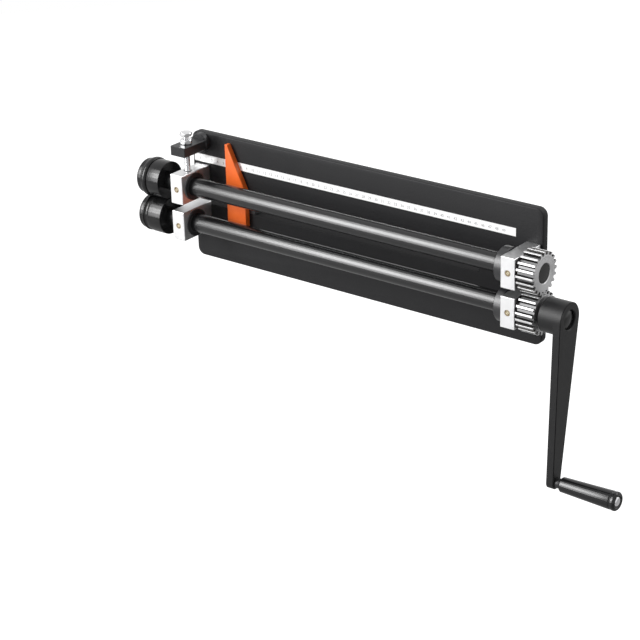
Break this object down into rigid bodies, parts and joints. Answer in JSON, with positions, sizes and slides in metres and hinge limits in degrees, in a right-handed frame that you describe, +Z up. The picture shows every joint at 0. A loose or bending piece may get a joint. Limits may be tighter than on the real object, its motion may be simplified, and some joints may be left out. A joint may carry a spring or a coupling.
{
  "type": "bead roller",
  "caption": "Hand-cranked bench bead roller: two geared shafts with a beading roll pair on a slotted frame plate, a sliding stop gauge and a press screw.",
  "frame": {"origin": "middle of the bench flange's four bolt holes, on the flange's underside", "axes": "+X along the shafts towards the crank, +Y away from the operator, +Z up"},
  "size_m": [0.7512, 0.1278, 0.343],
  "materials": {
    "plate_coat": "black powder coat, satin, finely grained",
    "flange_coat": "black powder coat, satin",
    "tape": "white printed tape with grey ticks",
    "arm_oxide": "blackened steel, milled",
    "fastener": "zinc grey steel",
    "block_steel": "bright milled steel",
    "bush_oxide": "black oxide",
    "bush_bronze": "oiled bearing bronze",
    "plug_brass": "turned brass",
    "guide_steel": "plain steel",
    "screw_chrome": "polished chrome",
    "shaft_black": "black ground steel, satin gloss",
    "collar_oxide": "black oxide, turned",
    "gear_steel": "bright cut steel",
    "key_steel": "plain key steel",
    "roll_oxide": "blackened tool steel, turned",
    "crank_coat": "cast, matt black",
    "pin_chrome": "polished chrome",
    "grip_black": "black, glossy",
    "gauge_paint": "orange enamel",
    "key_black": "black",
    "stud_steel": "plain steel",
    "knob_plastic": "black moulded knob"
  },
  "bodies": {
    "frame": {"frame_plate": "plate_coat", "ruler_tape": "tape", "screw_arm": "arm_oxide", "arm_bolt": "fastener", "bench_flange": "flange_coat", "flange_welds": "flange_coat", "lower_die_block": "block_steel", "upper_drive_block": "block_steel", "lower_drive_block": "block_steel", "lower_die_bush": "bush_oxide", "lower_drive_bush": "bush_bronze", "oil_plugs": "plug_brass", "block_screws": "fastener"},
    "carrier": {"upper_die_block": "block_steel", "upper_die_bush": "bush_oxide", "upper_drive_bush": "bush_bronze", "sliding_block_plug": "plug_brass", "guide_studs": "fastener", "guide_plate": "guide_steel", "guide_nuts": "fastener"},
    "pad": {"screw_pad": "guide_steel"},
    "screw": {"press_screw": "screw_chrome"},
    "locknut": {"lock_nut": "screw_chrome"},
    "upper_roll": {"upper_shaft": "shaft_black", "upper_collar": "collar_oxide", "upper_collar_screw": "fastener", "upper_gear": "gear_steel", "upper_gear_key": "key_steel", "upper_die": "roll_oxide", "upper_die_key": "key_steel", "upper_die_cap": "roll_oxide", "upper_die_bolt": "fastener"},
    "lower_roll": {"lower_shaft": "shaft_black", "lower_collar": "collar_oxide", "lower_collar_screw": "fastener", "lower_gear": "gear_steel", "lower_gear_key": "key_steel", "lower_die": "roll_oxide", "lower_die_key": "key_steel", "lower_die_cap": "roll_oxide", "lower_die_bolt": "fastener", "crank_arm": "crank_coat", "crank_set_screw": "fastener", "handle_pin": "pin_chrome", "handle_spacer": "arm_oxide"},
    "grip": {"handle_grip": "grip_black"},
    "gauge": {"stop_gauge": "gauge_paint", "gauge_key": "key_black", "gauge_washer": "guide_steel", "gauge_stud": "stud_steel"},
    "knob": {"gauge_knob": "knob_plastic"}
  },
  "joints": [
    {"name": "roll_lift", "type": "hinge", "parent": "frame", "child": "carrier", "pos_m": [0.239, -0.074, 0.0934], "axis": [0, 1, 0], "range_deg": [0, 0.7]},
    {"name": "screw_feed", "type": "slide", "parent": "frame", "child": "pad", "axis": [0, 0, 1], "range_m": [0, 0.0064]},
    {"name": "screw_turn", "type": "hinge", "parent": "pad", "child": "screw", "pos_m": [-0.2778, -0.074, 0.1134], "axis": [0, 0, 1], "range_deg": [0, 1830]},
    {"name": "nut_turn", "type": "hinge", "parent": "frame", "child": "locknut", "pos_m": [-0.2778, -0.074, 0.154], "axis": [0, 0, 1], "range_deg": [0, 90]},
    {"name": "crank_spin", "type": "hinge", "parent": "frame", "child": "lower_roll", "pos_m": [0.239, -0.074, 0.0426], "axis": [1, 0, 0], "continuous": true},
    {"name": "upper_spin", "type": "hinge", "parent": "carrier", "child": "upper_roll", "pos_m": [0.239, -0.074, 0.0934], "axis": [1, 0, 0], "continuous": true},
    {"name": "grip_spin", "type": "hinge", "parent": "lower_roll", "child": "grip", "pos_m": [0.34, -0.0957, -0.16386], "axis": [1, 0, 0], "continuous": true},
    {"name": "gauge_slide", "type": "slide", "parent": "frame", "child": "gauge", "axis": [1, 0, 0], "range_m": [-0.027, 0.344]},
    {"name": "knob_turn", "type": "hinge", "parent": "gauge", "child": "knob", "pos_m": [-0.2178, -0.022, 0.068], "axis": [0, 1, 0], "range_deg": [0, 360]}
  ],
  "couplings": [
    {"joint": "screw_feed", "follows": "roll_lift", "m_per_rad": 0.5168},
    {"joint": "screw_turn", "follows": "roll_lift", "ratio": 2597.7},
    {"joint": "upper_spin", "follows": "crank_spin", "ratio": -1}
  ]
}
